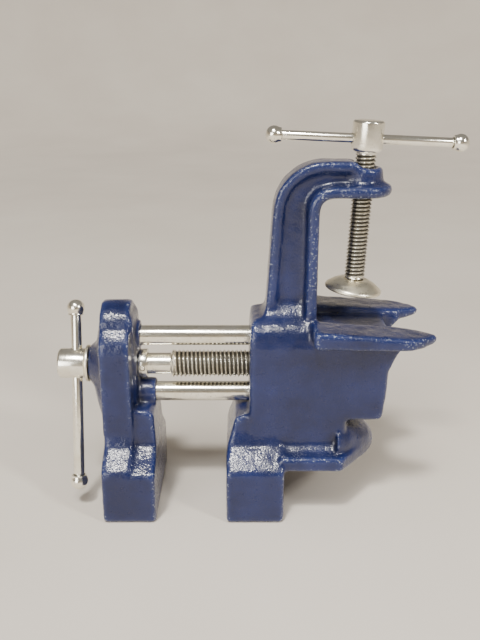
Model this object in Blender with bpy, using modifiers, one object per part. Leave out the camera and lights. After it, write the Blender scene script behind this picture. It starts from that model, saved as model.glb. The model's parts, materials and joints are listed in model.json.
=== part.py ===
"""Small clamp-on bench vise with an anvil and horn, modelled turned over so that it stands on its jaw tips.

Metres, +Z up. +X runs along the lead screw from the handle to the table clamp, and Y = 0 is the middle plane.
The origin is on the end face of the fixed jaw. In use the vise is the other way up.
"""

import math

import bmesh
import bpy
from mathutils import Matrix

NAME = "clamp_on_vise"
GAP = 0.0003                # clearance between neighbouring solids
ROUND = 28                  # sides of a turned piece
SMALL_ROUND = 16            # sides of a pin or a ball
CASTING_SOLVER = "MANIFOLD"  # the exact solver leaves open edges on the castings' many unions

# Lead screw and guide rods
SCREW_Z = 0.0642
ROD_PITCH = 0.0133          # from the screw's axis to each rod's
ROD_R = 0.0044
ROD_ENDS = (-0.0550, 0.0280)
PIN_X = -0.0515             # cross pins that hold the rods
COLLAR_PIN_X = -0.04255
COLLAR_PIN_R = 0.0010
SCREW_R = 0.0061
NECK_R = 0.0047
SCREW_END = 0.0310
THREAD_START = -0.0297
HEAD_R = 0.0067
HEAD_X = (-0.0800, -0.0679)
BOSS_FACE = -0.0661
NUT = (0.0110, 0.0073)      # half width and half height of the nut block
NUT_X = (0.0103, 0.0280)

# Jaws
JAW_HALF = 0.0280
GRIP_FIXED = -0.0060
GRIP_MOVING = -0.0365
PLATE_X = (-0.0595, -0.0466)
BODY_HALF = 0.0170
BODY_FACE = 0.0040

# Clamp frame, foot and anvil
SPINE_X = (0.0102, 0.0133)  # outer side of the spine, at the foot and at the bend
SPINE_INNER = 0.0322
BEND = (0.0345, 0.1320, 0.0212)
INNER_BEND = (0.0372, 0.1340, 0.0050)
ARM_END = 0.0480
FOOT_X = (0.0300, 0.0812)
FOOT_Z = (0.0880, 0.0845)   # height of the foot's flat at those two places
ANVIL_Z = (0.0235, 0.0300)
ANVIL_HALF = 0.0250

# Clamp screw: everything on it is placed in a frame that leans over with the screw
CLAMP_X = 0.0504
CLAMP_Z = 0.1450
CLAMP_LEAN = math.radians(2.5)
CLAMP_R = 0.0044
CLAMP_HEAD = (0.0114, 0.0240)
CLAMP_HEAD_R = 0.0064
CLAMP_BAR_Z = 0.0165
PAD_Z = -0.0450
PAD_R = 0.0121
PAD_TILT = math.radians(5.0)

# Sliding handles
HANDLE_X = -0.0722
HANDLE_LEAN = math.radians(14.0)
HANDLE_R = 0.0024
HANDLE_BALL = 0.0039
HANDLE_REACH = (-0.0535, 0.0245)
CLAMP_BAR_R = 0.00195
CLAMP_BALL = 0.0036
CLAMP_REACH = (-0.0375, 0.0375)

ALONG_X = Matrix.Rotation(math.pi / 2, 4, "Y")      # carries local Z to world +X
ALONG_Y = Matrix.Rotation(-math.pi / 2, 4, "X")     # carries local Z to world +Y
SIDE_ON = Matrix.Rotation(math.pi / 2, 4, "X")      # carries a flat outline into the XZ plane
END_ON = Matrix(((0, 0, 1, 0), (1, 0, 0, 0), (0, 1, 0, 0), (0, 0, 0, 1)))   # into the YZ plane


def start():
    """Empty the file and make the collections and the leaning frame."""
    for obj in list(bpy.data.objects):
        bpy.data.objects.remove(obj, do_unlink=True)
    parts = bpy.data.collections.new(NAME)
    cutters = bpy.data.collections.new("cutters")
    bpy.context.scene.collection.children.link(parts)
    bpy.context.scene.collection.children.link(cutters)
    lean = bpy.data.objects.new("clamp_axis", None)
    lean.location = (CLAMP_X, 0.0, CLAMP_Z)
    lean.rotation_euler = (0.0, CLAMP_LEAN, 0.0)
    parts.objects.link(lean)
    bpy.context.view_layer.update()
    return parts, cutters, lean


def material(name, colour, metallic, roughness):
    made = bpy.data.materials.new(name)
    made.use_nodes = True
    shader = made.node_tree.nodes["Principled BSDF"]
    shader.inputs["Base Color"].default_value = (*colour, 1.0)
    shader.inputs["Metallic"].default_value = metallic
    shader.inputs["Roughness"].default_value = roughness
    return made


def put(obj, place=None, finish=None, parent=None):
    """Link an object as a part when it has a finish, or as a cutter when it has none."""
    if finish:
        PARTS.objects.link(obj)
        obj.data.materials.clear()
        obj.data.materials.append(finish)
        obj.data.shade_smooth()
        obj.data.set_sharp_from_angle(angle=math.radians(35))
    else:
        CUTTERS.objects.link(obj)
        obj.hide_render = True
        obj.display_type = "WIRE"
    if parent:
        obj.parent = parent
    if place:
        obj.matrix_local = place
    return obj


def turned(name, profile, closed=False, steps=ROUND, **where):
    """A turned solid about local Z: the profile's radius and height run down the outer side."""
    mesh = bpy.data.meshes.new(name)
    edges = [(i, i + 1) for i in range(len(profile) - 1)]
    if closed:
        edges.append((len(profile) - 1, 0))
    mesh.from_pydata([(r, 0.0, z) for r, z in profile], edges, [])
    raw = bpy.data.objects.new(name, mesh)
    PARTS.objects.link(raw)
    screw = raw.modifiers.new("turn", "SCREW")
    screw.steps = screw.render_steps = steps
    screw.use_merge_vertices = True
    screw.merge_threshold = 0.00001
    return put(as_mesh(raw, name), **where)


def as_mesh(raw, name):
    """Replace a curve, or an object with modifiers, by the plain mesh that it evaluates to."""
    bpy.context.view_layer.update()
    graph = bpy.context.evaluated_depsgraph_get()
    mesh = bpy.data.meshes.new_from_object(raw.evaluated_get(graph))
    bm = bmesh.new()
    bm.from_mesh(mesh)
    bmesh.ops.remove_doubles(bm, verts=bm.verts, dist=0.000005)
    bmesh.ops.recalc_face_normals(bm, faces=bm.faces)
    bm.to_mesh(mesh)
    bm.free()
    bpy.data.objects.remove(raw, do_unlink=True)
    mesh.name = name
    return bpy.data.objects.new(name, mesh)


def outline_solid(name, points, half, edge=0.0, **where):
    """A flat outline, thickened by half on both sides of its plane, with rounded edges."""
    curve = bpy.data.curves.new(name, "CURVE")
    curve.dimensions = "2D"
    curve.fill_mode = "BOTH"
    curve.extrude = half
    spline = curve.splines.new("POLY")
    spline.points.add(len(points) - 1)
    for point, (x, y) in zip(spline.points, points):
        point.co = (x, y, 0.0, 1.0)
    spline.use_cyclic_u = True
    raw = bpy.data.objects.new(name, curve)
    PARTS.objects.link(raw)
    solid = put(as_mesh(raw, name), **where)
    if edge:
        rounded(solid, edge)
    return solid


def rounded(obj, width, segments=2, angle=40):
    bevel = obj.modifiers.new("edges", "BEVEL")
    bevel.width = width
    bevel.segments = segments
    bevel.limit_method = "ANGLE"
    bevel.angle_limit = math.radians(angle)
    return obj


def lofted(name, rings, edge=0.0, **where):
    """A solid through rings of points, each ring with the same number of points."""
    bm = bmesh.new()
    loops = [[bm.verts.new(p) for p in ring] for ring in rings]
    count = len(rings[0])
    for low, high in zip(loops, loops[1:]):
        for i in range(count):
            j = (i + 1) % count
            bm.faces.new((low[i], low[j], high[j], high[i]))
    bm.faces.new(list(reversed(loops[0])))
    bm.faces.new(loops[-1])
    bmesh.ops.recalc_face_normals(bm, faces=bm.faces)
    mesh = bpy.data.meshes.new(name)
    bm.to_mesh(mesh)
    bm.free()
    solid = put(bpy.data.objects.new(name, mesh), **where)
    if edge:
        rounded(solid, edge)
    return solid


def upright(levels):
    """Rings of a block that changes with height: each level is its height, its X span and its half width."""
    return [[(x0, -w, z), (x1, -w, z), (x1, w, z), (x0, w, z)] for z, x0, x1, w in levels]


def rod(name, radius, low, high, steps=ROUND, chamfer=0.0, **where):
    """A bar along local Z."""
    profile = [(0.0, high), (radius - chamfer, high)]
    if chamfer:
        profile += [(radius, high - chamfer), (radius, low + chamfer)]
        profile += [(radius - chamfer, low), (0.0, low)]
    else:
        profile += [(radius, low), (0.0, low)]
    return turned(name, profile, steps=steps, **where)


def arc(cx, cy, radius, start_deg, end_deg, steps):
    angles = [math.radians(start_deg + (end_deg - start_deg) * i / steps) for i in range(steps + 1)]
    return [(cx + radius * math.cos(a), cy + radius * math.sin(a)) for a in angles]


def combine(obj, other, operation, solver="EXACT"):
    change = obj.modifiers.new(operation.lower(), "BOOLEAN")
    change.operation = operation
    change.object = other
    change.solver = solver


def at(x=0.0, y=0.0, z=0.0, turn=None):
    return Matrix.Translation((x, y, z)) @ (turn or Matrix.Identity(4))


def foot_height(x):
    share = (x - FOOT_X[0]) / (FOOT_X[1] - FOOT_X[0])
    return FOOT_Z[0] + share * (FOOT_Z[1] - FOOT_Z[0])


# --- Castings ---------------------------------------------------------------------------------------------

def arm_outline(outer, inner, low, end):
    """Outline of the C-shaped arm between an inset of its outer side and an inset of its inner side."""
    cx, cz, radius = BEND
    ix, iz, small = INNER_BEND
    points = [(SPINE_X[0] + outer, low), (SPINE_X[1] + outer, cz)]
    points += arc(cx, cz, radius - outer, 180, 90, 8)[1:]
    points += [(end, cz + radius - outer), (end, iz + small + inner)]
    points += arc(ix, iz, small + inner, 90, 180, 4)
    points += [(SPINE_INNER - inner, low)]
    return points


def arm_band(inner_side, thickness, low, end):
    """Outline of the rim on the outer side of the arm, or of the flange on its inner side."""
    cx, cz, radius = BEND
    ix, iz, small = INNER_BEND
    if inner_side:
        points = [(SPINE_INNER, low)] + arc(ix, iz, small, 180, 90, 4) + [(end, iz + small)]
        points += [(end, iz + small + thickness)] + arc(ix, iz, small + thickness, 90, 180, 5)
        return points + [(SPINE_INNER - thickness, low)]
    points = [(SPINE_X[0], low), (SPINE_X[1], cz)] + arc(cx, cz, radius, 180, 90, 8)[1:]
    points += [(end, cz + radius), (end, cz + radius - thickness)]
    points += arc(cx, cz, radius - thickness, 90, 180, 8)
    return points + [(SPINE_X[0] + thickness, low)]


def clamp_arm():
    """The pieces of the C-shaped arm: web, outer rim, inner flange, its round end and the threaded boss."""
    web = outline_solid("arm_web", arm_outline(0.001, 0.001, 0.080, ARM_END), 0.0052, place=SIDE_ON)
    rim = outline_solid("arm_rim", arm_band(False, 0.0042, 0.080, ARM_END - 0.001), 0.0072, 0.0012,
                        place=SIDE_ON)
    flange = outline_solid("arm_flange", arm_band(True, 0.0048, 0.080, ARM_END + 0.002), 0.0118, 0.0012,
                           place=SIDE_ON)
    tip = rod("arm_tip", 0.0120, 0.1388, 0.1440, chamfer=0.001, place=at(CLAMP_X))
    boss = rod("arm_boss", 0.0080, 0.1420, 0.1508, chamfer=0.001, place=at(CLAMP_X))
    root = lofted("arm_root", upright([(0.0760, 0.0042, 0.0318, 0.0167), (0.0805, 0.0042, 0.0318, 0.0164),
                                       (0.0840, 0.0043, 0.0318, 0.0152), (0.0866, 0.0047, 0.0318, 0.0132),
                                       (0.0880, 0.0060, 0.0318, 0.0113), (0.0889, 0.0096, 0.0318, 0.0097),
                                       (0.0915, 0.0106, 0.0318, 0.0074), (0.0940, 0.0112, 0.0318, 0.0056)]))
    return [web, rim, flange, tip, boss, root]


def foot_rail(side):
    """One rail of the forked foot, a flat bearing face that runs out to a blunt point, and the gusset under it."""
    rows = [(FOOT_X[0], 0.0100, 0.0272, 0.0805), (0.0640, 0.0102, 0.0275, 0.0800),
            (0.0700, 0.0112, 0.0270, 0.0800), (0.0745, 0.0130, 0.0250, 0.0803),
            (0.0788, 0.0152, 0.0218, 0.0808), (FOOT_X[1], 0.0168, 0.0196, 0.0814)]
    rings = [rail_ring(side, x, inner, outer, low, foot_height(x)) for x, inner, outer, low in rows]
    rail = lofted("foot_rail", rings, 0.0012)
    rows = [(0.0560, 0.0640), (0.0634, 0.0675), (0.0652, 0.0722), (0.0678, 0.0764), (0.0715, 0.0806)]
    gusset = lofted("foot_gusset", [rail_ring(side, x, 0.0104, 0.0164, low, 0.0826) for x, low in rows], 0.0008)
    return [rail, gusset]


def rail_ring(side, x, inner, outer, low, top):
    return [(x, side * inner, low), (x, side * outer, low), (x, side * outer, top), (x, side * inner, top)]


def anvil():
    """The anvil's plate, the slope that joins it to the body, and the horn."""
    plan = [(0.0170, -ANVIL_HALF), (0.0437, -ANVIL_HALF), (0.0505, -0.0165), (0.0566, -0.0088),
            (0.0595, -0.0040), (0.0595, 0.0040), (0.0566, 0.0088), (0.0505, 0.0165),
            (0.0437, ANVIL_HALF), (0.0170, ANVIL_HALF)]
    plate = outline_solid("anvil_plate", plan, (ANVIL_Z[1] - ANVIL_Z[0]) / 2, 0.0010,
                          place=at(z=sum(ANVIL_Z) / 2))
    slope = lofted("anvil_slope", upright([(0.0285, 0.0175, 0.0450, 0.0240), (0.0304, 0.0175, 0.0450, 0.0205),
                                           (0.0322, 0.0175, 0.0453, 0.0182), (0.0348, 0.0175, 0.0453, 0.0166)]))
    rows = [(0.0420, 0.0220, 0.0112, 0.0330), (0.0480, 0.0175, 0.0096, 0.0322), (0.0530, 0.0126, 0.0076, 0.0308),
            (0.0575, 0.0080, 0.0056, 0.0291), (0.0603, 0.0036, 0.0034, 0.0277)]
    rings = []
    for x, wide, high, z in rows:
        rings.append([(x, y, h) for y, h in ellipse(wide, high, z, ANVIL_Z[0])])
    horn = lofted("anvil_horn", rings)
    return [plate, slope, horn]


def ellipse(wide, high, centre, floor):
    """Points round an ellipse that is flattened where it would pass below the floor."""
    points = []
    for i in range(SMALL_ROUND):
        a = 2 * math.pi * i / SMALL_ROUND
        points.append((wide * math.cos(a), max(floor, centre + high * math.sin(a))))
    return points


def fixed_jaw():
    levels = [(0.0, GRIP_FIXED, 0.0190, JAW_HALF), (0.0242, GRIP_FIXED, 0.0190, JAW_HALF),
              (0.0288, GRIP_FIXED, 0.0190, 0.0232), (0.0332, -0.0053, 0.0185, 0.0184),
              (0.0390, -0.0036, 0.0150, 0.0163), (0.0450, -0.0020, 0.0120, 0.0158),
              (0.0472, 0.0062, 0.0100, 0.0154)]
    return lofted("fixed_jaw", upright(levels), 0.0009)


def fixed_body(finish):
    """The main casting: body, fixed jaw, anvil, horn, forked foot and clamp arm in one piece."""
    side = [(BODY_FACE, 0.0255), (BODY_FACE, 0.0795), (0.0306, 0.0795), (0.0306, 0.0838), (0.0637, 0.0838),
            (0.0632, 0.0700), (0.0627, 0.0560), (0.0614, 0.0440), (0.0460, 0.0440), (0.0460, 0.0255)]
    body = outline_solid("fixed_body", side, BODY_HALF, 0.0018, place=SIDE_ON, finish=finish)
    for piece in clamp_arm() + anvil() + [fixed_jaw()] + foot_rail(1) + foot_rail(-1):
        combine(body, piece, "UNION", CASTING_SOLVER)
    for cutter in body_cutters():
        combine(body, cutter, "DIFFERENCE", CASTING_SOLVER)
    return body


def body_cutters():
    """Bores for the rods and the screw, the cored tunnel with the nut's seat, and the tapped boss."""
    made = []
    for sign in (1, -1):
        made.append(rod("rod_bore", ROD_R + GAP, -0.010, 0.080,
                        place=at(z=SCREW_Z + sign * ROD_PITCH, turn=ALONG_X)))
    made.append(rod("screw_bore", SCREW_R + GAP, -0.010, 0.020, place=at(z=SCREW_Z, turn=ALONG_X)))
    wide, high = NUT[0] + GAP, NUT[1] + GAP
    tunnel = [(NUT_X[0] - GAP, SCREW_Z - high), (0.080, SCREW_Z - high), (0.080, SCREW_Z + high),
              (NUT_X[0] - GAP, SCREW_Z + high)]
    made.append(outline_solid("tunnel", tunnel, wide, place=SIDE_ON))
    made.append(rod("set_screw_bore", 0.0025 + GAP, NUT[0] - 0.001, 0.020, SMALL_ROUND,
                    place=at(sum(NUT_X) / 2, 0.0, SCREW_Z, ALONG_Y)))
    made.append(rod("clamp_bore", CLAMP_R + GAP, -0.012, 0.012, parent=CLAMP_AXIS, place=at()))
    return made


def movable_jaw(finish):
    """The sliding casting: an upright plate with a round top, the jaw, the screw's boss and two rod bosses."""
    half = 0.0172
    front = [(-half, 0.0360), (half, 0.0360), (half, 0.0745), (0.0160, 0.0790), (0.0135, 0.0825)]
    front += arc(0.0, 0.0815, 0.0120, 12, 168, 10)
    front += [(-0.0135, 0.0825), (-0.0160, 0.0790), (-half, 0.0745)]
    middle = sum(PLATE_X) / 2
    thick = (PLATE_X[1] - PLATE_X[0]) / 2
    jaw = outline_solid("movable_jaw", front, thick, 0.0015, place=at(middle, turn=END_ON), finish=finish)
    outer = -0.0597
    levels = [(0.0, outer, GRIP_MOVING, JAW_HALF), (0.0228, outer, GRIP_MOVING, JAW_HALF),
              (0.0276, outer + 0.0020, GRIP_MOVING, 0.0214), (0.0322, outer + 0.0035, -0.0367, 0.0158),
              (0.0458, outer + 0.0035, -0.0376, 0.0150), (0.0478, outer + 0.0035, -0.0400, 0.0146)]
    grip = lofted("moving_grip", upright(levels), 0.0009)
    levels = [(0.0200, outer, PLATE_X[1] - 0.0003, JAW_HALF), (0.0244, outer, PLATE_X[1] - 0.0003, 0.0274),
              (0.0286, outer + 0.0002, PLATE_X[1], 0.0228), (0.0326, outer + 0.0004, PLATE_X[1], 0.0184),
              (0.0385, outer + 0.0006, PLATE_X[1], 0.0169)]
    skirt = lofted("plate_skirt", upright(levels), 0.0009)
    boss = rod_cone("screw_boss", ((BOSS_FACE, 0.0078), (-0.0648, 0.0090), (-0.0600, 0.0132), (-0.0560, 0.0155)),
                    SCREW_Z)
    back = rod("collar_boss", 0.0090, -0.050, -0.0447, place=at(z=SCREW_Z, turn=ALONG_X))
    low = rod("low_rod_boss", 0.0062, -0.050, -0.0371, place=at(z=SCREW_Z - ROD_PITCH, turn=ALONG_X))
    high = rod("high_rod_boss", 0.0066, -0.050, -0.0430, place=at(z=SCREW_Z + ROD_PITCH, turn=ALONG_X))
    rib = lofted("inner_rib", upright([(0.0400, PLATE_X[0] + 0.004, -0.0452, 0.0104),
                                       (0.0860, PLATE_X[0] + 0.004, -0.0452, 0.0104),
                                       (0.0885, PLATE_X[0] + 0.004, -0.0458, 0.0084)]), 0.0006)
    for piece in (grip, skirt, boss, boss_swell(), back, low, high, rib):
        combine(jaw, piece, "UNION", CASTING_SOLVER)
    cutters = [rod("neck_bore", NECK_R + GAP, -0.080, -0.030, place=at(z=SCREW_Z, turn=ALONG_X))]
    for sign in (1, -1):
        z = SCREW_Z + sign * ROD_PITCH
        cutters.append(rod("rod_seat", ROD_R + GAP, ROD_ENDS[0] - GAP, -0.030, place=at(z=z, turn=ALONG_X)))
        cutters.append(rod("pin_bore", 0.0015 + GAP, -0.0063, 0.030, SMALL_ROUND,
                           place=at(PIN_X, 0.0, z, ALONG_Y)))
    for cutter in cutters:
        combine(jaw, cutter, "DIFFERENCE", CASTING_SOLVER)
    return jaw


def boss_swell():
    """The soft ridge on the plate's outer face that carries the screw's boss."""
    rows = [(0.0300, 0.0004, 0.0060), (0.0350, 0.0010, 0.0080), (0.0420, 0.0029, 0.0098), (0.0480, 0.0042, 0.0112),
            (0.0560, 0.0053, 0.0126), (0.0640, 0.0056, 0.0132), (0.0715, 0.0041, 0.0126), (0.0775, 0.0025, 0.0112),
            (0.0890, 0.0004, 0.0070)]
    rings = []
    for z, rise, half in rows:
        side = [(PLATE_X[0] + 0.002, half), (PLATE_X[0], half), (PLATE_X[0] - 0.7 * rise, 0.62 * half),
                (PLATE_X[0] - rise, 0.30 * half)]
        rings.append([(x, -y, z) for x, y in side] + [(x, y, z) for x, y in reversed(side)])
    return lofted("boss_swell", rings)


def rod_cone(name, rows, z):
    """A turned boss along X through the given places and radii."""
    profile = [(0.0, rows[-1][0])] + [(r, x) for x, r in reversed(rows)] + [(0.0, rows[0][0])]
    return turned(name, profile, place=at(z=z, turn=ALONG_X))


# --- Screws, rods and handles -----------------------------------------------------------------------------

def guide_rods(steel):
    """Two guide rods, each held in the movable jaw by a cross pin."""
    for sign, name in ((1, "upper"), (-1, "lower")):
        z = SCREW_Z + sign * ROD_PITCH
        bar = rod(f"guide_rod_{name}", ROD_R, *ROD_ENDS, chamfer=0.0006, finish=steel,
                  place=at(z=z, turn=ALONG_X))
        hole = rod("pin_hole", 0.0015 + GAP, -0.0063, 0.030, SMALL_ROUND, place=at(PIN_X, 0.0, z, ALONG_Y))
        combine(bar, hole, "DIFFERENCE")
        rod(f"rod_pin_{name}", 0.0015, -0.0035, 0.0156, SMALL_ROUND, 0.0003, finish=steel,
            place=at(PIN_X, 0.0, z, ALONG_Y))


def handle_frame():
    """Where the lead screw's handle bar lies: local Z runs up the bar."""
    return at(HANDLE_X, 0.0, SCREW_Z, Matrix.Rotation(-HANDLE_LEAN, 4, "X"))


def lead_screw(steel):
    low, high = HEAD_X
    profile = [(0.0, SCREW_END), (SCREW_R - 0.001, SCREW_END), (SCREW_R, SCREW_END - 0.001), (SCREW_R, THREAD_START),
               (NECK_R, THREAD_START - 0.0008), (NECK_R, high), (HEAD_R - 0.0006, high),
               (HEAD_R, high - 0.0006), (HEAD_R, low + 0.0014), (HEAD_R - 0.0014, low), (0.0, low)]
    screw = turned("lead_screw", profile, finish=steel, place=at(z=SCREW_Z, turn=ALONG_X))
    combine(screw, rod("handle_hole", HANDLE_R + GAP, -0.02, 0.02, SMALL_ROUND, place=handle_frame()),
            "DIFFERENCE")
    combine(screw, rod("collar_hole", COLLAR_PIN_R + GAP, -0.02, 0.02, SMALL_ROUND,
                       place=at(COLLAR_PIN_X, 0.0, SCREW_Z, ALONG_Y)), "DIFFERENCE")
    washer = [(0.0082, -0.0664), (0.0082, -0.0676), (NECK_R + GAP, -0.0676), (NECK_R + GAP, -0.0664)]
    turned("thrust_washer", washer, closed=True, finish=steel, place=at(z=SCREW_Z, turn=ALONG_X))
    ring = [(0.0065, -0.0407), (0.0065, -0.0444), (NECK_R + GAP, -0.0444), (NECK_R + GAP, -0.0407)]
    collar = turned("retaining_collar", ring, closed=True, finish=steel, place=at(z=SCREW_Z, turn=ALONG_X))
    combine(collar, rod("collar_bore", COLLAR_PIN_R + GAP, -0.02, 0.02, SMALL_ROUND,
                        place=at(COLLAR_PIN_X, 0.0, SCREW_Z, ALONG_Y)), "DIFFERENCE")
    rod("collar_pin", COLLAR_PIN_R, -0.0063, 0.0063, 12, 0.0002, finish=steel,
        place=at(COLLAR_PIN_X, 0.0, SCREW_Z, ALONG_Y))


def lead_screw_nut(finish, steel):
    outline = [(NUT_X[0], SCREW_Z - NUT[1]), (NUT_X[1], SCREW_Z - NUT[1]), (NUT_X[1], SCREW_Z + NUT[1]),
               (NUT_X[0], SCREW_Z + NUT[1])]
    nut = outline_solid("lead_screw_nut", outline, NUT[0], 0.0005, place=SIDE_ON, finish=finish)
    combine(nut, rod("nut_bore", SCREW_R + GAP, -0.01, 0.06, place=at(z=SCREW_Z, turn=ALONG_X)), "DIFFERENCE")
    set_screw = rod("nut_set_screw", 0.0025, NUT[0] + GAP, 0.0166, SMALL_ROUND, 0.0004, finish=steel,
                    place=at(sum(NUT_X) / 2, 0.0, SCREW_Z, ALONG_Y))
    slot = [(-0.0004, -0.0040), (0.0004, -0.0040), (0.0004, 0.0040), (-0.0004, 0.0040)]
    combine(set_screw, outline_solid("driver_slot", slot, 0.0008,
                                     place=at(sum(NUT_X) / 2, 0.0166, SCREW_Z, ALONG_Y)), "DIFFERENCE")


def ball_profile(radius, bore, depth):
    """A ball with a blind bore in its lower side."""
    stop = math.asin(bore / radius)
    rows = 9
    points = []
    for i in range(rows + 1):
        a = (math.pi - stop) * i / rows
        points.append((radius * math.sin(a), radius * math.cos(a)))
    points[0] = (0.0, radius)
    return points + [(bore, -radius + depth), (0.0, -radius + depth)]


def bar_with_balls(bar, balls, reach, radius, ball, frame, steel, parent=None):
    """A sliding handle bar with a ball pressed on each end."""
    inset = 0.0008
    rod(bar, radius, reach[0] - inset, reach[1] + inset, SMALL_ROUND, 0.0003, finish=steel, parent=parent,
        place=frame)
    depth = ball + inset + GAP
    profile = ball_profile(ball, radius + GAP, depth)
    flip = Matrix.Rotation(math.pi, 4, "X")
    turned(balls[1], profile, steps=SMALL_ROUND, finish=steel, parent=parent,
           place=frame @ Matrix.Translation((0, 0, reach[1])))
    turned(balls[0], profile, steps=SMALL_ROUND, finish=steel, parent=parent,
           place=frame @ Matrix.Translation((0, 0, reach[0])) @ flip)


def clamp_screw(steel):
    low, high = CLAMP_HEAD
    shoulder = PAD_Z + 0.0040
    profile = [(0.0, high), (CLAMP_HEAD_R - 0.0006, high), (CLAMP_HEAD_R, high - 0.0006),
               (CLAMP_HEAD_R, low + 0.0022), (CLAMP_HEAD_R - 0.0007, low + 0.0007),
               (CLAMP_R + 0.0004, low), (CLAMP_R, low), (CLAMP_R, shoulder), (0.0030, shoulder),
               (0.0030, PAD_Z - 0.0008), (0.0044, PAD_Z - 0.0008), (0.0040, PAD_Z - 0.0018),
               (0.0, PAD_Z - 0.0021)]
    screw = turned("clamp_screw", profile, finish=steel, parent=CLAMP_AXIS, place=at())
    hole = rod("clamp_hole", CLAMP_BAR_R + GAP, -0.02, 0.02, SMALL_ROUND, parent=CLAMP_AXIS,
               place=at(z=CLAMP_BAR_Z, turn=ALONG_X))
    combine(screw, hole, "DIFFERENCE")


def swivel_pad(finish):
    """The dished pad, with the washer that the peened end of the clamp screw holds against it."""
    dish = [(0.0058, 0.0032), (0.0090, 0.0020), (PAD_R - 0.0008, -0.0002), (PAD_R, -0.0010),
            (PAD_R - 0.0005, -0.0018), (0.0088, -0.0002), (0.0058, 0.0010), (0.0037, 0.0010),
            (0.0037, 0.0032)]
    turned("swivel_pad", dish, closed=True, finish=finish, parent=CLAMP_AXIS,
           place=at(z=PAD_Z, turn=Matrix.Rotation(PAD_TILT, 4, "Y")))
    ring = [(0.0046, 0.0003), (0.0046, -0.0005), (0.0030 + GAP, -0.0005), (0.0030 + GAP, 0.0003)]
    turned("pad_washer", ring, closed=True, finish=finish, parent=CLAMP_AXIS, place=at(z=PAD_Z))


def main():
    enamel = material("blue_enamel", (0.012, 0.022, 0.105), 0.0, 0.28)
    steel = material("bright_plated_steel", (0.62, 0.60, 0.56), 1.0, 0.18)
    dull = material("dull_plated_steel", (0.52, 0.49, 0.44), 1.0, 0.38)
    iron = material("nut_iron", (0.20, 0.19, 0.18), 1.0, 0.55)
    fixed_body(enamel)
    movable_jaw(enamel)
    guide_rods(steel)
    lead_screw(steel)
    lead_screw_nut(iron, steel)
    bar_with_balls("handle_bar", ("handle_ball_lower", "handle_ball_upper"), HANDLE_REACH, HANDLE_R,
                   HANDLE_BALL, handle_frame(), steel)
    clamp_screw(steel)
    bar_with_balls("clamp_bar", ("clamp_ball_left", "clamp_ball_right"), CLAMP_REACH, CLAMP_BAR_R,
                   CLAMP_BALL, at(z=CLAMP_BAR_Z, turn=ALONG_X), steel, CLAMP_AXIS)
    swivel_pad(dull)


PARTS, CUTTERS, CLAMP_AXIS = start()
main()
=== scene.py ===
"""Looks of the clamp-on bench vise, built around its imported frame.

Metres, in the frame's own axes: +Z up, +X along the lead screw from the handle towards the table clamp.
The castings get cast fillets, lumps and glossy enamel, the screws get cut threads, and every turned piece
is made again as a fine turned mesh. The vise stands upside down on its jaw tips.
"""

import json
import math
from collections import namedtuple
from contextlib import contextmanager

import bmesh
import bpy
import numpy as np
from mathutils import Matrix, Vector, noise


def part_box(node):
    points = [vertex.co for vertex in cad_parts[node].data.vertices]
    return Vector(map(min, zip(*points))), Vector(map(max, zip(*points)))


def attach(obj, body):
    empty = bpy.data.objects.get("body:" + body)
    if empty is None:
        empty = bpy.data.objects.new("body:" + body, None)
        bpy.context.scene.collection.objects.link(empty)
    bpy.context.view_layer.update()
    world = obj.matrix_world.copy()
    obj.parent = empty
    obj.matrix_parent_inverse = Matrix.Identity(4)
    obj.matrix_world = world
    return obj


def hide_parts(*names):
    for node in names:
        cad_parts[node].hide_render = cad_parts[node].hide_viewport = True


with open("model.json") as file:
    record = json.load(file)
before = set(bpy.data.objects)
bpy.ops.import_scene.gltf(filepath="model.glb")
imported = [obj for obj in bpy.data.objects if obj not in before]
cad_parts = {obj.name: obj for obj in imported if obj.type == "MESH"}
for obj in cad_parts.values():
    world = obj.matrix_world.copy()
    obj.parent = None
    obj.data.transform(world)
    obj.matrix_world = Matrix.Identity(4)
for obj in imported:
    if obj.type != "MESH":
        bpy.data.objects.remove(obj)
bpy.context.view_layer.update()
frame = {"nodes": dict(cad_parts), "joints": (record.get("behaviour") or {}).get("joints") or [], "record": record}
JOINTS = {joint["name"]: joint for joint in frame["joints"]}
MOUNTS = {mount["name"]: mount for mount in frame["record"]["mounts"]}

MM = 0.001
X_AXIS = Vector((1.0, 0.0, 0.0))
Y_AXIS = Vector((0.0, 1.0, 0.0))
FIT = 0.3 * MM                  # clearance round a bar or a pin in its hole
THROUGH = 15.0 * MM             # half length of a drill that goes right through any piece
STEP = 0.01 * MM                # rise of a square shoulder, so that no two rows share a height
RIM_MIDDLE = 0.3                # where the middle of a softened rim lies, as a share of the rim
WELD = 0.002 * MM               # closer points than this are one point

# Sides of the turned meshes
FINE = 96
BALL_SIDES = 64
THIN_SIDES = 48                 # bars, thicker pins and drilled holes
PIN_SIDES = 32

# Castings
VOXEL = 0.70 * MM
RELAX_STEPS = 9
ARM_FROM = 92.0 * MM            # above this the casting's hollows and rims run softly into each other
ARM_BLEND = 6.0 * MM
ARM_RELAX_STEPS = 22
NUT_VOXEL = 0.35 * MM
NUT_RELAX_STEPS = 3
LUMP = 0.15 * MM                # height of the sand-cast lumps
LUMP_SIZE = 4.5 * MM
PIMPLE = 0.05 * MM              # height of the finer grain on top of them
PIMPLE_SIZE = 1.5 * MM
BORE_BLEND = 0.5 * MM           # the lumps fade out over this towards a machined bore
BODY_SEED, JAW_SEED, NUT_SEED = 3.0, 11.0, 7.0
PIMPLE_SEED = 5.0               # added to a casting's seed

# Outer edges (wear, and a painted highlight) and hollows (painted shade): where they start, and how far on they
# are full, in voxels out of the surroundings
WEAR_FROM, WEAR_SPAN = 0.012, 0.075
HOLLOW_FROM, HOLLOW_SPAN = 0.006, 0.060
WEAR_SOFTENING = 5

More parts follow.
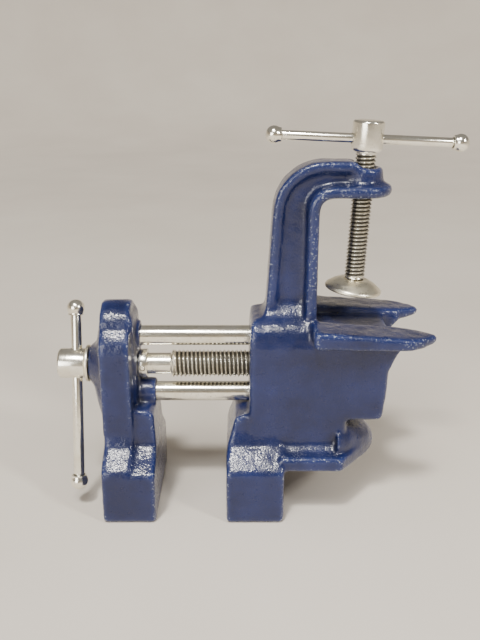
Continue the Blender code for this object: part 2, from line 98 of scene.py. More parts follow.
# Cast grooves across the jaws' gripping faces
GROOVE_PITCH = 2.2 * MM
GROOVE_DEPTH = 0.40 * MM
GRIP_BOTTOM = 1.2 * MM
GRIP_TOP = 22.0 * MM
GRIP_HALF = 26.5 * MM           # half the grooves' length
GRIP_FADE = 1.0 * MM
GRIP_NEAR = 0.8 * MM            # how far a point may be from the gripping face
FIXED_GRIP_X = MOUNTS["fixed_jaw_grip"]["pos_m"][0]
JAW_OPENING = 30.5 * MM

# Threads, with the pitches that the couplings have
LEAD_PITCH = 0.0254 / 14
CLAMP_PITCH = 0.0254 / 16
THREAD_DEPTH = 0.56             # share of the pitch
THREAD_FLANK = 1.35             # above 1 the flanks are steeper and the roots flat
THREAD_CREST = 0.12             # taken off the depth, which leaves the crests broader
THREAD_CURVE = 0.9              # below 1 the flanks bulge inwards
THREAD_EASE = 0.8               # pitches over which a thread runs out at each end
ROWS_PER_PITCH = 14

# Lead screw along X
SCREW_AXIS = Vector(JOINTS["lead_screw_turn"]["pos_m"])
SCREW_R = 6.1 * MM
NECK_R = 4.7 * MM
THREAD_X = (-29.7 * MM, 31.0 * MM)
THREAD_RUN_IN = 0.8 * MM
SCREW_CHAMFER = 1.0 * MM
HEAD_X = (-80.0 * MM, -67.9 * MM)
HEAD_R = 6.7 * MM
HEAD_EDGES = (1.3 * MM, 0.6 * MM)
HANDLE_X = -72.2 * MM
HANDLE_AXIS = Vector(JOINTS["handle_slide"]["axis"])
HANDLE_R = 2.4 * MM
HANDLE_BALL = 3.9 * MM
HANDLE_REACH = (-53.5 * MM, 24.5 * MM)
COLLAR_EDGE = 0.35 * MM
COLLAR_PIN_X = -42.55 * MM
COLLAR_PIN_R = 1.0 * MM
COLLAR_PIN_EDGES = (0.2 * MM, 0.2 * MM)
WASHER_EDGE = 0.25 * MM
SET_SCREW_X = 19.15 * MM
SET_SCREW_R = 2.5 * MM
SET_SCREW_EDGE = 0.4 * MM
SLOT_WIDTH = 0.8 * MM
SLOT_DEPTH = 0.8 * MM
SLOT_LENGTH = 8.0 * MM

# Guide rods along X
ROD_EDGES = (0.6 * MM, 0.9 * MM)
ROD_PIN_X = -51.5 * MM
ROD_PIN_R = 1.5 * MM
ROD_PIN_EDGES = (0.3 * MM, 0.4 * MM)

# Sliding bars
BAR_PAST_MIDDLE = 0.8 * MM      # how far a bar goes in past the middle of its ball
BAR_EDGE = 0.3 * MM

# Clamp screw along its leaning axis, heights from the joint's own point
CLAMP_POINT = Vector(JOINTS["clamp_turn"]["pos_m"])
CLAMP_AXIS = Vector(JOINTS["clamp_turn"]["axis"])
CLAMP_SIDE = Vector(JOINTS["clamp_bar_slide"]["axis"])
CLAMP_R = 4.4 * MM
CLAMP_THREAD = (-41.0 * MM, 11.1 * MM)
CLAMP_NECK_R = 3.0 * MM
CLAMP_HEAD = (11.4 * MM, 24.0 * MM)
CLAMP_HEAD_R = 6.4 * MM
CLAMP_HEAD_EDGES = (1.9 * MM, 1.1 * MM)
CLAMP_DOME = 0.25 * MM          # height of the head's domed end above its rim
DOME_ROWS = [(0.5, 0.08 * MM), (0.15, 0.0)]     # share of the head's radius, and how far below its top
CLAMP_BAR_Z = 16.5 * MM
CLAMP_BAR_R = 1.95 * MM
CLAMP_BALL = 3.6 * MM
CLAMP_REACH = 37.5 * MM

# Swivel pad: outlines of (radius, height) in millimetres, from the pad's own zero on the clamp screw's axis
PAD_Z = -45.0 * MM
PAD_TILT = math.radians(5.0)
PAD_RIM = 12.1
PAD_TOP = [(3.7, 3.2), (5.2, 3.25), (6.2, 3.1), (7.4, 2.6), (8.8, 1.9), (10.1, 1.0), (11.2, 0.2),
           (PAD_RIM - 0.3, -0.35), (PAD_RIM, -1.0)]
PAD_UNDER = [(PAD_RIM - 0.15, -1.55), (PAD_RIM - 0.6, -1.8), (10.8, -1.45), (9.8, -0.85), (8.5, -0.15),
             (7.1, 0.5), (5.8, 1.0), (3.7, 1.0)]
PAD_WASHER = [(3.3, 0.3), (4.4, 0.3), (4.6, 0.1), (4.6, -0.3), (4.4, -0.5), (3.3, -0.5)]
# The clamp screw's peened end, measured in the same way
PEENED_END = [(1.2, -2.1), (3.4, -1.9), (4.3, -1.4), (4.3, -0.85), (3.0, -0.8)]

# Studio
FLOOR_DROP = 0.05 * MM          # keeps the floor from flickering against the jaw ends
FLOOR_FLAT = 1.3                # radius where the floor starts to curve up
FLOOR_BEND = 0.8
CAMERA_PLACE = (0.0, -0.3123, 0.1950)
CAMERA_PITCH = 19.5             # degrees below the horizon
CAMERA_LENS = 42.9              # mm
LIT_POINT = (0.0, 0.0, 0.08)
SUN_FROM = (-0.16, -0.42, 0.90)
SUN_STRENGTH = 2.1
SUN_ANGLE = math.radians(7.0)
SUN_COLOUR = (1.0, 0.975, 0.93)
AREA_LIGHTS = [                 # name, place, size, power, colour
    ("softbox", (-0.08, -0.40, 0.72), (0.30, 0.20), 3.0, (1.0, 0.98, 0.95)),
    ("right", (0.50, -0.40, 0.50), (0.10, 0.10), 2.8, (1.0, 0.97, 0.92)),
    ("front", (-0.60, -0.88, 0.36), (0.60, 0.55), 6.8, (1.0, 0.98, 0.94)),
]
SKY_STRENGTH = 0.32

# A material slot of the record, and the material that shows it
Finish = namedtuple("Finish", "slot material")


# --- Meshes ---

def new_object(name, data):
    obj = bpy.data.objects.new(name, data)
    bpy.context.scene.collection.objects.link(obj)
    return obj


def new_mesh(name, points, faces):
    mesh = bpy.data.meshes.new(name)
    mesh.from_pydata(points, [], faces)
    return mesh


@contextmanager
def editing(mesh):
    """A bmesh of a mesh, written back to it at the end."""
    bm = bmesh.new()
    bm.from_mesh(mesh)
    yield bm
    bm.to_mesh(mesh)
    bm.free()


def face_outwards(mesh):
    with editing(mesh) as bm:
        bmesh.ops.recalc_face_normals(bm, faces=bm.faces)


def close_poles(mesh):
    """Weld a ring's points on the axis into one."""
    with editing(mesh) as bm:
        bmesh.ops.remove_doubles(bm, verts=bm.verts, dist=WELD / 2)
        bmesh.ops.dissolve_degenerate(bm, edges=bm.edges, dist=WELD / 4)
        bmesh.ops.recalc_face_normals(bm, faces=bm.faces)


def apply_modifiers(obj):
    bpy.context.view_layer.update()
    graph = bpy.context.evaluated_depsgraph_get()
    mesh = bpy.data.meshes.new_from_object(obj.evaluated_get(graph))
    obj.modifiers.clear()
    obj.data = mesh


def cut(obj, cutter):
    """Take a cutter's shape out of a piece, and remove the cutter."""
    change = obj.modifiers.new("cut", "BOOLEAN")
    change.operation = "DIFFERENCE"
    change.object = cutter
    apply_modifiers(obj)
    bpy.data.objects.remove(cutter, do_unlink=True)


def drill(obj, radius, middle, axis):
    """Cut a round hole right through a piece."""
    cutter = turned("drill", [(-THROUGH, radius), (THROUGH, radius)], frame_along(axis, middle), THIN_SIDES)
    face_outwards(cutter.data)
    cut(obj, cutter)


def finish_piece(obj, body, finish, *nodes, sharp=32.0):
    """Give a piece its material, put it on its body and let it stand for its CAD nodes."""
    obj.data.materials.clear()
    obj.data.materials.append(finish.material)
    obj.data.shade_smooth()
    obj.data.set_sharp_from_angle(angle=math.radians(sharp))
    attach(obj, body)
    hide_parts(*nodes)


def frame_along(axis, point, side=None):
    """A matrix whose Z runs along an axis from a point, and whose X is as near as can be to side."""
    up = Vector(axis).normalized()
    across = Vector(side) if side else (Y_AXIS if abs(up.y) < 0.9 else X_AXIS)
    across = (across - up * across.dot(up)).normalized()
    turn = Matrix((across, up.cross(across), up)).transposed().to_4x4()
    return Matrix.Translation(point) @ turn


def on_screw_axis(x):
    return Vector((x, 0.0, SCREW_AXIS.z))


def rows_of_quads(rows, sides, first=0):
    """Faces between neighbouring closed rows of points, which follow each other from the point first."""
    faces = []
    for low in range(first, first + (rows - 1) * sides, sides):
        high = low + sides
        for i in range(sides):
            k = (i + 1) % sides
            faces.append((low + i, low + k, high + k, high + i))
    return faces


def turned(name, rows, place, sides=FINE, pitch=None, thread=None):
    """A closed turned mesh: rows of (height, radius) from low to high, capped at both ends.

    Between the two thread heights the radius follows a helical thread of the given pitch.
    """
    heights = np.array([row[0] for row in rows])
    grid = np.repeat(np.array([row[1] for row in rows])[:, None], sides, 1)
    angles = np.arange(sides) * 2 * math.pi / sides
    if pitch:
        roots = thread_roots(heights, angles, pitch, thread)
        grid = grid - THREAD_DEPTH * pitch * roots
    points = np.stack([grid * np.cos(angles), grid * np.sin(angles),
                       np.repeat(heights[:, None], sides, 1)], axis=-1).reshape(-1, 3)
    faces = rows_of_quads(len(rows), sides)
    faces.append(tuple(reversed(range(sides))))
    faces.append(tuple(range((len(rows) - 1) * sides, len(rows) * sides)))
    mesh = new_mesh(name, [tuple(p) for p in points], faces)
    if pitch:
        # Keep the thread's root depth, which the steel reads to paint shade into the roots
        store(mesh, "root_depth", roots.reshape(-1))
    mesh.transform(place)
    return new_object(name, mesh)


def thread_roots(heights, angles, pitch, thread):
    """How deep each point lies in the thread: 0 on a rounded crest or off the thread, 1 in a root."""
    phase = (heights[:, None] / pitch - angles[None, :] / (2 * math.pi)) % 1.0
    from_crest = 1 - np.abs(phase - 0.5) * 2
    form = np.clip(from_crest * THREAD_FLANK - THREAD_CREST, 0, 1) ** THREAD_CURVE
    from_end = np.minimum(heights - thread[0], thread[1] - heights)
    ease = np.clip(from_end / (pitch * THREAD_EASE), 0, 1)[:, None]
    return form * ease


def thread_rows(low, high, radius, pitch):
    count = int((high - low) / pitch * ROWS_PER_PITCH)
    return [(low + (high - low) * i / count, radius) for i in range(count + 1)]


def rounded_rows(low, high, radius, low_edge, high_edge, bands=4):
    """Rows of a cylinder with rounded rims."""
    turns = [math.pi / 2 * i / bands for i in range(bands + 1)]
    rows = [(low + low_edge * (1 - math.cos(a)), radius - low_edge * (1 - math.sin(a))) for a in turns]
    rows += [(high - high_edge * (1 - math.sin(a)), radius - high_edge * (1 - math.cos(a))) for a in turns]
    return rows


def ring(name, outline, place, sides=FINE):
    """A closed turned ring from an outline of (radius, height) points."""
    angles = [2 * math.pi * i / sides for i in range(sides)]
    points = [(r * math.cos(a), r * math.sin(a), z) for a in angles for r, z in outline]
    count = len(outline)
    faces = []
    for i in range(sides):
        k = (i + 1) % sides
        for j in range(count):
            n = (j + 1) % count
            faces.append((i * count + j, k * count + j, k * count + n, i * count + n))
    mesh = new_mesh(name, points, faces)
    face_outwards(mesh)
    mesh.transform(place)
    return new_object(name, mesh)


def point_vectors(mesh, name):
    """One of a mesh's vectors at each of its points."""
    found = np.empty(len(mesh.vertices) * 3, np.float32)
    mesh.vertices.foreach_get(name, found)
    return found.reshape(-1, 3).astype(float)


def set_coordinates(mesh, points):
    mesh.vertices.foreach_set("co", points.astype(np.float32).reshape(-1))
    mesh.update()


def edge_list(mesh):
    pairs = np.empty(len(mesh.edges) * 2, np.int32)
    mesh.edges.foreach_get("vertices", pairs)
    return pairs.reshape(-1, 2)


def store(mesh, name, values):
    """Keep one number for each point, for a material to read."""
    layer = mesh.attributes.new(name, "FLOAT", "POINT")
    layer.data.foreach_set("value", values.astype(np.float32))


def neighbour_mean(values, pairs):
    """The mean of each point's neighbours along the edges."""
    total = np.zeros(values.shape)
    number = np.zeros(len(values))
    for here, there in ((0, 1), (1, 0)):
        np.add.at(total, pairs[:, here], values[pairs[:, there]])
        np.add.at(number, pairs[:, here], 1)
    number = np.maximum(number, 1)
    return total / (number if values.ndim == 1 else number[:, None])


# --- Castings ---

def casting(name, node, body, finish, seed, voxel=VOXEL, relax=RELAX_STEPS, grip=None):
    """A casting made from its CAD node: fused, with soft fillets and lumps, and grooved where it grips."""
    mesh = frame["nodes"][node].data.copy()
    with editing(mesh) as bm:
        bmesh.ops.remove_doubles(bm, verts=bm.verts, dist=WELD)
    obj = new_object(name, mesh)
    fuse = obj.modifiers.new("fuse", "REMESH")
    fuse.mode = "VOXEL"
    fuse.voxel_size = voxel
    apply_modifiers(obj)
    mesh = obj.data
    set_coordinates(mesh, relaxed(point_vectors(mesh, "co"), edge_list(mesh), relax))
    points, facing = point_vectors(mesh, "co"), point_vectors(mesh, "normal")
    raised = lumps(points, LUMP, LUMP_SIZE, seed) + lumps(points, PIMPLE, PIMPLE_SIZE, seed + PIMPLE_SEED)
    raised *= cast_share(points)
    points += facing * raised[:, None]
    if grip is not None:
        cut_grooves(points, facing, grip)
    low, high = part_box(node)
    set_coordinates(mesh, np.clip(points, np.array(low), np.array(high)))
    mark_edges(mesh, voxel)
    finish_piece(obj, body, finish, node, sharp=60.0)


def relaxed(points, pairs, steps):
    """Move every point towards its neighbours, and go on for longer in the clamp arm."""
    arm = np.clip((points[:, 2] - ARM_FROM) / ARM_BLEND, 0, 1)[:, None]
    longest = ARM_RELAX_STEPS if arm.max() > 0 else steps
    for step in range(longest):
        share = 0.5 if step < steps else 0.5 * arm
        points = points + (neighbour_mean(points, pairs) - points) * share
    return points


def lumps(points, height, size, seed):
    offset = Vector((seed, 2.7 * seed, -1.3 * seed))
    return np.array([noise.noise(Vector(p) / size + offset) for p in points]) * height


def cast_share(points):
    """How far the lumps show at each point: 1 on a cast surface, 0 in a machined bore."""
    share = np.ones(len(points))
    for middle, radius in (rod_section("upper"), rod_section("lower"), (SCREW_AXIS, SCREW_R)):
        away = np.hypot(points[:, 1] - middle.y, points[:, 2] - middle.z)
        share *= np.clip((away - radius - FIT) / BORE_BLEND, 0, 1)
    return share


def cut_grooves(points, facing, grip):
    """Shallow grooves across a gripping face at X = grip, cut into the metal."""
    wave = np.clip(np.abs(((points[:, 2] / GROOVE_PITCH) % 1.0) - 0.5) * 4 - 1, 0, 1)
    square_on = np.clip(np.abs(facing[:, 0]) * 3 - 2, 0, 1)
    near = np.clip(1 - np.abs(points[:, 0] - grip) / GRIP_NEAR, 0, 1)
    inside = np.clip((GRIP_HALF - np.abs(points[:, 1])) / GRIP_FADE, 0, 1)
    inside *= np.clip((GRIP_TOP - points[:, 2]) / GRIP_FADE, 0, 1)
    inside *= np.clip((points[:, 2] - GRIP_BOTTOM) / GRIP_FADE, 0, 1)
    points[:, 0] -= np.sign(facing[:, 0]) * wave * square_on * near * inside * GROOVE_DEPTH


def mark_edges(mesh, voxel):
    """Store how far each point stands out, 1 on a sharp outer edge, for edge wear and a painted highlight, and how
    hollow it is, 1 in a tight inner corner, for painted shade.
    """
    points, facing, pairs = point_vectors(mesh, "co"), point_vectors(mesh, "normal"), edge_list(mesh)
    out = ((points - neighbour_mean(points, pairs)) * facing).sum(1) / voxel
    for _ in range(WEAR_SOFTENING):
        out = neighbour_mean(out, pairs)
    store(mesh, "edge_wear_and_sheen", np.clip((out - WEAR_FROM) / WEAR_SPAN, 0, 1))
    store(mesh, "hollow", np.clip((-out - HOLLOW_FROM) / HOLLOW_SPAN, 0, 1))


# --- Materials ---

class Nodes:
    """A small helper that adds and joins a material's nodes. Scales are per metre."""

    def __init__(self, name):
        self.material = bpy.data.materials.new(name)
        self.material.use_nodes = True
        self.tree = self.material.node_tree
        self.shader = self.tree.nodes["Principled BSDF"]
        self.place = self.tree.nodes.new("ShaderNodeTexCoord").outputs["Object"]

    def add(self, kind, **sockets):
        node = self.tree.nodes.new(kind)
        for key, value in sockets.items():
            self.set(node, key.replace("_", " "), value)
        return node

    def set(self, node, socket, value):
        target = node.inputs[socket]
        if isinstance(value, bpy.types.NodeSocket):
            self.tree.links.new(value, target)
        else:
            target.default_value = value

    def noise(self, scale, detail=3.0, roughness=0.55, stretch=None, distortion=0.0):
        where = self.place
        if stretch:
            mapping = self.add("ShaderNodeMapping", Vector=where, Scale=stretch)
            where = mapping.outputs["Vector"]
        node = self.add("ShaderNodeTexNoise", Vector=where, Scale=scale, Detail=detail,
                        Roughness=roughness, Distortion=distortion)
        return node.outputs["Fac"]

    def attribute(self, name):
        node = self.add("ShaderNodeAttribute")
        node.attribute_name = name
        return node.outputs["Fac"]

    def spread(self, value, low, high, to_low=0.0, to_high=1.0):
        """Map low to high onto to_low to to_high, and hold the ends."""
        node = self.add("ShaderNodeMapRange", Value=value, From_Min=low, From_Max=high, To_Min=to_low,
                        To_Max=to_high)
        return node.outputs["Result"]

    def maths(self, operation, a, b):
        node = self.add("ShaderNodeMath")
        node.operation = operation
        self.set(node, 0, a)
        self.set(node, 1, b)
        return node.outputs["Value"]

    def mix(self, share, a, b):
        node = self.tree.nodes.new("ShaderNodeMix")
        node.data_type = "RGBA"
        self.set(node, 0, share)
        self.set(node, 6, a)
        self.set(node, 7, b)
        return node.outputs[2]

    def bump(self, height, strength, distance, normal=None):
        node = self.add("ShaderNodeBump", Height=height, Strength=strength, Distance=distance)
        if normal:
            self.set(node, "Normal", normal)
        return node.outputs["Normal"]

    def finish(self, **sockets):
        for key, value in sockets.items():
            self.set(self.shader, key.replace("_", " "), value)
        return self.material


def colour(red, green, blue):
    return (red, green, blue, 1.0)


DEEP_BLUE = colour(0.0030, 0.0078, 0.048)
LIGHT_BLUE = colour(0.0080, 0.0160, 0.086)
# Painted shade: the near-black blue that darkens the hollows and inner corners
HOLLOW_SHADE_BLUE = colour(0.0015, 0.0030, 0.016)
# Outer edges: lighter blue for rubbed paint, and partly a painted edge highlight
RUBBED_AND_SHEEN_BLUE = colour(0.024, 0.045, 0.180)
# Pale chips of bare metal on the edges, which partly stand in for painted glints
CHIP_AND_GLINT_GREY = colour(0.38, 0.42, 0.50)
BRIGHT = (colour(0.98, 0.96, 0.87), colour(0.84, 0.79, 0.66))
DULL = (colour(0.92, 0.87, 0.71), colour(0.70, 0.64, 0.49))
SPECK = colour(0.12, 0.10, 0.07)
# Painted shade in the thread roots
THREAD_ROOT_SHADE = colour(0.030, 0.024, 0.016)
IRON = (colour(0.15, 0.14, 0.13), colour(0.26, 0.24, 0.22))
RUST = colour(0.16, 0.055, 0.022)
PAPER = (colour(0.70, 0.64, 0.56), colour(0.76, 0.70, 0.62))
SKY = colour(0.86, 0.80, 0.72)

# How the turning or drawing marks are stretched: a small number draws them out along that axis
ALONG_ROD = (0.05, 1.0, 1.0)
ALONG_BAR = (1.0, 1.0, 0.05)
ROUND_X = (1.0, 0.12, 0.12)
ROUND_Z = (0.12, 0.12, 1.0)


def blue_enamel():
    """Thick glossy navy enamel over a rough casting. Outer edges are lighter and chipped, partly from wear and
    partly a painted highlight with painted glints; hollows are darkened as painted shade.
    """
    n = Nodes("blue_enamel")
    patches = n.noise(55.0, 4.0)
    base = n.mix(n.spread(patches, 0.35, 0.68), DEEP_BLUE, LIGHT_BLUE)
    # Hollows and inner corners darkened towards near black: painted shade
    shaded_base = n.mix(n.spread(n.attribute("hollow"), 0.0, 1.0, 0.0, 0.80), base, HOLLOW_SHADE_BLUE)
    # Outer edges made lighter and flecked with pale chips: rubbed, chipped paint, and partly a painted highlight
    # and glints
    wear_and_sheen = n.attribute("edge_wear_and_sheen")
    edge_tone = n.mix(n.maths("MULTIPLY", wear_and_sheen, 0.50), shaded_base, RUBBED_AND_SHEEN_BLUE)
    flecks = n.spread(n.noise(1000.0, 3.0, 0.6), 0.59, 0.64)
    chips_and_glints = n.maths("MULTIPLY", n.spread(wear_and_sheen, 0.25, 0.70), flecks)
    shown = n.mix(chips_and_glints, edge_tone, CHIP_AND_GLINT_GREY)
    rough = n.spread(n.noise(260.0, 5.0, 0.65), 0.3, 0.75, 0.24, 0.44)
    swells = n.bump(n.noise(190.0, 2.0, 0.5), 0.25, 0.0008)
    pimples = n.bump(n.noise(1150.0, 2.0, 0.5, distortion=0.2), 1.0, 0.00013, swells)
    grain = n.bump(n.noise(2300.0, 4.0, 0.65), 0.80, 0.00012, pimples)
    return n.finish(Base_Color=shown, Roughness=rough, Normal=grain, Coat_Normal=pimples,
                    Metallic=n.maths("MULTIPLY", chips_and_glints, 0.6), Coat_Weight=0.72, Coat_Roughness=0.07,
                    Specular_IOR_Level=0.25)


def plated_steel(name, tints, smooth, rough, streaks, threaded=False):
    """Plated steel with turning or drawing marks, dull patches, specks and, in a thread, rougher roots that are
    painted dark as shade.
    """
    n = Nodes(name)
    cloud = n.noise(150.0, 5.0, 0.6)
    marks = n.noise(900.0, 4.0, 0.7, stretch=streaks)
    base = n.mix(n.spread(cloud, 0.42, 0.72), *tints)
    specks = n.spread(n.noise(1500.0, 2.0), 0.64, 0.72)
    base = n.mix(n.maths("MULTIPLY", specks, 0.60), base, SPECK)
    gloss = n.spread(n.maths("MULTIPLY", n.maths("ADD", cloud, marks), 0.5), 0.35, 0.70, smooth, rough)
    if threaded:
        # Thread roots painted near black as shade, and made rougher
        root_shade_share = n.spread(n.attribute("root_depth"), 0.20, 0.85)
        base = n.mix(n.maths("MULTIPLY", root_shade_share, 0.94), base, THREAD_ROOT_SHADE)
        gloss = n.maths("ADD", gloss, n.maths("MULTIPLY", root_shade_share, 0.30))
    relief = n.bump(marks, 0.12, 0.00006)
    dents = n.bump(n.noise(420.0, 4.0, 0.55), 0.22, 0.00020, relief)
    return n.finish(Base_Color=base, Roughness=gloss, Normal=dents, Metallic=1.0)


def nut_iron():
    """Dark cast iron with a sandy grain and traces of rust."""
    n = Nodes("nut_iron")
    base = n.mix(n.spread(n.noise(240.0, 5.0), 0.40, 0.70), *IRON)
    rusty = n.mix(n.spread(n.noise(420.0, 4.0, 0.7), 0.60, 0.72, 0.0, 0.8), base, RUST)
    grain = n.bump(n.noise(1300.0, 5.0, 0.65), 0.5, 0.0002)
    rough = n.spread(n.noise(300.0, 3.0), 0.3, 0.7, 0.48, 0.72)
    return n.finish(Base_Color=rusty, Roughness=rough, Normal=grain, Metallic=0.85)


def backdrop_paper():
    n = Nodes("backdrop_paper")
    tint = n.mix(n.spread(n.noise(6.0, 3.0), 0.3, 0.7), *PAPER)
    return n.finish(Base_Color=tint, Roughness=0.9)


# --- Turned and pressed pieces ---

def bar_with_balls(bar, balls, place, reach, radius, ball, body, finish):
    """A sliding handle bar and the ball swaged on each end."""
    low, high = reach
    rows = rounded_rows(low - BAR_PAST_MIDDLE, high + BAR_PAST_MIDDLE, radius, BAR_EDGE, BAR_EDGE, 2)
    finish_piece(turned(bar + "_turned", rows, place, THIN_SIDES), body, finish, bar)
    for end, name, flip in ((low, balls[0], math.pi), (high, balls[1], 0.0)):
        at_end = place @ Matrix.Translation((0, 0, end)) @ Matrix.Rotation(flip, 4, "X")
        knob = ring(name + "_turned", ball_outline(ball, radius + FIT), at_end, BALL_SIDES)
        close_poles(knob.data)
        finish_piece(knob, body, finish, name, sharp=50.0)


def ball_outline(radius, bore, rows=22):
    """Outline of a ball with a blind bore in its lower side, with a soft collar where the bar goes in."""
    on_axis = 0.0001 * MM
    collar_from = 2.0           # radians from the ball's top
    last = math.pi - math.asin(bore / radius)
    points = []
    for i in range(rows + 1):
        a = last * i / rows
        flattened = 1.0 - 0.035 * max(0.0, math.cos(a)) ** 6
        collar = 0.20 * radius * np.clip((a - collar_from) / (last - collar_from), 0, 1) ** 2
        points.append((max(radius * math.sin(a), on_axis) + collar, radius * math.cos(a) * flattened))
    foot = points[-1][1]
    points += [(bore + 0.10 * radius, foot - 0.06 * radius), (bore, foot - 0.04 * radius)]
    bore_end = BAR_PAST_MIDDLE + FIT
    return points + [(bore, bore_end), (on_axis, bore_end)]


def rod_section(end):
    """The middle and radius of the upper or lower guide rod, from its CAD node."""
    low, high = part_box("guide_rod_" + end)
    return (low + high) / 2, (high.z - low.z) / 2


def guide_rods(finish):
    """The two ground rods and the cross pins that hold them in the sliding jaw."""
    for end in ("upper", "lower"):
        low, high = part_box("guide_rod_" + end)
        middle, radius = rod_section(end)
        place = frame_along(X_AXIS, Vector((0.0, middle.y, middle.z)))
        rod = turned(f"guide_rod_{end}_ground", rounded_rows(low.x, high.x, radius, *ROD_EDGES), place)
        drill(rod, ROD_PIN_R + FIT, Vector((ROD_PIN_X, 0.0, middle.z)), Y_AXIS)
        finish_piece(rod, "sliding_jaw", finish, "guide_rod_" + end)
        cross_pin("rod_pin_" + end, ROD_PIN_X, ROD_PIN_R, ROD_PIN_EDGES, THIN_SIDES, "sliding_jaw", finish)


def cross_pin(node, x, radius, edges, sides, body, finish):
    """A pin along Y, as long and as high up as its CAD node."""
    low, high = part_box(node)
    place = frame_along(Y_AXIS, Vector((x, 0.0, (low.z + high.z) / 2)))
    pin = turned(node + "_driven", rounded_rows(low.y, high.y, radius, *edges), place, sides)
    finish_piece(pin, body, finish, node)


def lead_screw(plain, threaded, washer_steel):
    """The lead screw with its drilled head, its thrust washer, and the collar that a cross pin holds."""
    place = frame_along(X_AXIS, on_screw_axis(0.0))
    rows = rounded_rows(*HEAD_X, HEAD_R, *HEAD_EDGES)
    rows += [(HEAD_X[1] + STEP, NECK_R), (THREAD_X[0] - THREAD_RUN_IN, NECK_R)]
    rows += thread_rows(THREAD_X[0], THREAD_X[1] - SCREW_CHAMFER, SCREW_R, LEAD_PITCH)
    rows += [(THREAD_X[1], SCREW_R - SCREW_CHAMFER)]
    screw = turned("lead_screw_threaded", rows, place, FINE, LEAD_PITCH, THREAD_X)
    drill(screw, HANDLE_R + FIT, on_screw_axis(HANDLE_X), HANDLE_AXIS)
    collar = flat_ring("retaining_collar", NECK_R + FIT, place, COLLAR_EDGE)
    for piece in (screw, collar):
        drill(piece, COLLAR_PIN_R + FIT, on_screw_axis(COLLAR_PIN_X), Y_AXIS)
    washer = flat_ring("thrust_washer", NECK_R + FIT, place, WASHER_EDGE)
    finish_piece(screw, "main_screw", threaded, "lead_screw")
    finish_piece(collar, "main_screw", plain, "retaining_collar")
    finish_piece(washer, "main_screw", washer_steel, "thrust_washer")
    cross_pin("collar_pin", COLLAR_PIN_X, COLLAR_PIN_R, COLLAR_PIN_EDGES, PIN_SIDES, "main_screw", plain)


def flat_ring(node, bore, place, edge):
    """A washer or collar about the lead screw, the size of its CAD node, with softened rims."""
    low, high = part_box(node)
    outer = (high.z - low.z) / 2
    soft = RIM_MIDDLE * edge
    outline = [(bore, high.x), (outer - edge, high.x), (outer - soft, high.x - soft), (outer, high.x - edge),
               (outer, low.x + edge), (outer - soft, low.x + soft), (outer - edge, low.x), (bore, low.x)]
    return ring(node + "_turned", outline, place)


def clamp_screw(finish):
    """The clamp screw, from its peened end under the pad to its drilled, slightly domed head."""
    place = frame_along(CLAMP_AXIS, CLAMP_POINT, CLAMP_SIDE)
    low, high = CLAMP_HEAD
    rows = [(PAD_Z + height, radius) for radius, height in in_metres(PEENED_END)]
    rows += [(CLAMP_THREAD[0] - 2 * STEP, CLAMP_NECK_R)]
    rows += thread_rows(*CLAMP_THREAD, CLAMP_R, CLAMP_PITCH)
    rows += [(low, CLAMP_R)]
    rows += rounded_rows(low + STEP, high - CLAMP_DOME, CLAMP_HEAD_R, *CLAMP_HEAD_EDGES, 6)
    rows += [(high - below, CLAMP_HEAD_R * share) for share, below in DOME_ROWS]
    screw = turned("clamp_screw_threaded", rows, place, FINE, CLAMP_PITCH, CLAMP_THREAD)
    drill(screw, CLAMP_BAR_R + FIT, place @ Vector((0.0, 0.0, CLAMP_BAR_Z)), CLAMP_SIDE)
    finish_piece(screw, "table_clamp_screw", finish, "clamp_screw")


def swivel_pad(finish):
    """The dished, rolled pad and the washer that the screw's peened end holds against it."""
    place = frame_along(CLAMP_AXIS, CLAMP_POINT, CLAMP_SIDE) @ Matrix.Translation((0, 0, PAD_Z))
    tilted = place @ Matrix.Rotation(PAD_TILT, 4, "Y")
    pad = ring("swivel_pad_pressed", in_metres(smooth_outline(PAD_TOP) + smooth_outline(PAD_UNDER)), tilted)
    finish_piece(pad, "pad", finish, "swivel_pad", sharp=45.0)
    washer = ring("pad_washer_pressed", in_metres(PAD_WASHER), place)
    finish_piece(washer, "clamp_carriage", finish, "pad_washer")


def in_metres(outline):
    return [(r * MM, z * MM) for r, z in outline]


def smooth_outline(points, between=3):
    """A Catmull-Rom curve through an outline's points."""
    found = []
    for i in range(len(points) - 1):
        around = (points[max(i - 1, 0)], points[i], points[i + 1], points[min(i + 2, len(points) - 1)])
        for step in range(between):
            t = step / between
            found.append(tuple(0.5 * (2 * b + (c - a) * t + (2 * a - 5 * b + 4 * c - d) * t ** 2
                                      + (3 * b - a - 3 * c + d) * t ** 3)
                               for a, b, c, d in zip(*around)))
    return found + [points[-1]]


def nut_set_screw(finish):
    """The slotted screw that holds the nut, driven in from +Y."""
    low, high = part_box("nut_set_screw")
    rows = rounded_rows(low.y, high.y, SET_SCREW_R, SET_SCREW_EDGE, SET_SCREW_EDGE)
    screw = turned("nut_set_screw_slotted", rows, frame_along(Y_AXIS, on_screw_axis(SET_SCREW_X)), THIN_SIDES)
    slot = bpy.data.meshes.new("slot")
    with editing(slot) as bm:
        bmesh.ops.create_cube(bm, size=1.0)
    slot.transform(Matrix.Translation((SET_SCREW_X, high.y, SCREW_AXIS.z))
                   @ Matrix.Diagonal((SLOT_WIDTH, 2 * SLOT_DEPTH, SLOT_LENGTH, 1.0)))
    cut(screw, new_object("slot", slot))
    finish_piece(screw, "body", finish, "nut_set_screw")


# --- Studio ---

def lamp(name, kind, power, tint, shine):
    """A lamp that shines along a direction."""
    data = bpy.data.lights.new(name, kind)
    data.energy = power
    data.color = tint
    obj = new_object(name, data)
    obj.rotation_mode = "QUATERNION"
    obj.rotation_quaternion = shine.to_track_quat("-Z", "Y")
    return obj


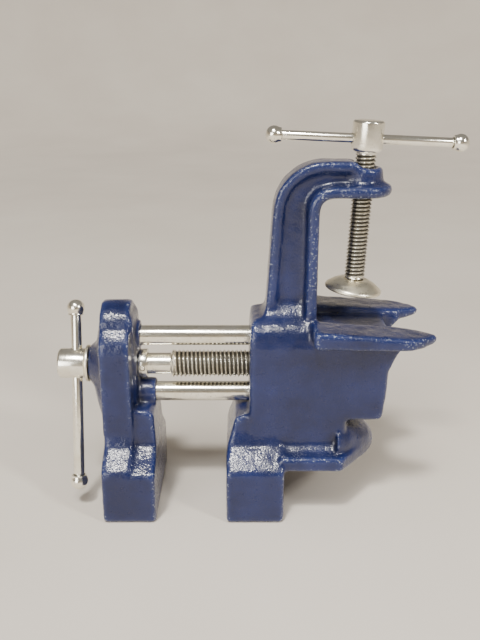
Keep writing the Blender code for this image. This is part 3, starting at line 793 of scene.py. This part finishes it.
def backdrop():
    """A pale floor that curves up all round into a low wall, so that no horizon shows in any view."""
    sides, steps = 96, 16
    outline = [(0.3, -FLOOR_DROP), (0.8, -FLOOR_DROP), (FLOOR_FLAT, -FLOOR_DROP)]
    for i in range(1, steps + 1):
        a = math.pi / 2 * i / steps
        outline.append((FLOOR_FLAT + FLOOR_BEND * math.sin(a), FLOOR_BEND * (1 - math.cos(a))))
    turns = [2 * math.pi * i / sides for i in range(sides)]
    points = [(0.0, 0.0, -FLOOR_DROP)]
    points += [(radius * math.cos(a), radius * math.sin(a), height)
               for radius, height in outline for a in turns]
    faces = [(0, 1 + i, 1 + (i + 1) % sides) for i in range(sides)]
    faces += [tuple(reversed(face)) for face in rows_of_quads(len(outline), sides, first=1)]
    mesh = new_mesh("backdrop", points, faces)
    mesh.shade_smooth()
    mesh.materials.append(backdrop_paper())
    obj = new_object("backdrop", mesh)


def studio():
    backdrop()
    key = lamp("key", "SUN", SUN_STRENGTH, SUN_COLOUR, -Vector(SUN_FROM))
    key.data.angle = SUN_ANGLE
    for name, place, size, power, tint in AREA_LIGHTS:
        light = lamp(name, "AREA", power, tint, Vector(LIT_POINT) - Vector(place))
        light.location = place
        light.data.shape = "RECTANGLE"
        light.data.size, light.data.size_y = size
    world = bpy.data.worlds.new("studio")
    bpy.context.scene.world = world
    world.use_nodes = True
    background = world.node_tree.nodes["Background"]
    background.inputs["Color"].default_value = SKY
    background.inputs["Strength"].default_value = SKY_STRENGTH


def camera():
    data = bpy.data.cameras.new("camera")
    data.lens = CAMERA_LENS
    data.sensor_width = 36.0
    data.clip_start, data.clip_end = 0.01, 20.0
    obj = new_object("camera", data)
    obj.location = CAMERA_PLACE
    obj.rotation_euler = (math.radians(90.0 - CAMERA_PITCH), 0.0, 0.0)
    bpy.context.scene.camera = obj


def main():
    camera()
    studio()
    bright = "bright_plated_steel"
    enamel = Finish("blue_enamel", blue_enamel())
    rod_steel = Finish(bright, plated_steel("rod_steel", BRIGHT, 0.10, 0.24, ALONG_ROD))
    bar_steel = Finish(bright, plated_steel("bar_steel", BRIGHT, 0.12, 0.26, ALONG_BAR))
    turned_steel = Finish(bright, plated_steel("turned_steel", BRIGHT, 0.14, 0.30, ROUND_X))
    lead_steel = Finish(bright, plated_steel("lead_screw_steel", BRIGHT, 0.14, 0.30, ROUND_X, True))
    clamp_steel = Finish(bright, plated_steel("clamp_screw_steel", BRIGHT, 0.14, 0.30, ROUND_Z, True))
    pad_steel = Finish("dull_plated_steel", plated_steel("dull_steel", DULL, 0.26, 0.46, ROUND_Z))
    washer_steel = Finish(bright, pad_steel.material)
    iron = Finish("nut_iron", nut_iron())

    casting("body_casting", "fixed_body", "body", enamel, BODY_SEED, grip=FIXED_GRIP_X)
    casting("jaw_casting", "movable_jaw", "sliding_jaw", enamel, JAW_SEED, grip=FIXED_GRIP_X - JAW_OPENING)
    casting("lead_screw_nut_cast", "lead_screw_nut", "body", iron, NUT_SEED, NUT_VOXEL, NUT_RELAX_STEPS)
    guide_rods(rod_steel)
    lead_screw(turned_steel, lead_steel, washer_steel)
    clamp_screw(clamp_steel)
    handle = frame_along(HANDLE_AXIS, on_screw_axis(HANDLE_X))
    bar_with_balls("handle_bar", ("handle_ball_lower", "handle_ball_upper"), handle, HANDLE_REACH, HANDLE_R,
                   HANDLE_BALL, "main_handle", bar_steel)
    tee = frame_along(CLAMP_SIDE, CLAMP_POINT + CLAMP_AXIS * CLAMP_BAR_Z)
    bar_with_balls("clamp_bar", ("clamp_ball_left", "clamp_ball_right"), tee, (-CLAMP_REACH, CLAMP_REACH),
                   CLAMP_BAR_R, CLAMP_BALL, "clamp_handle", rod_steel)
    swivel_pad(pad_steel)
    nut_set_screw(turned_steel)


main()
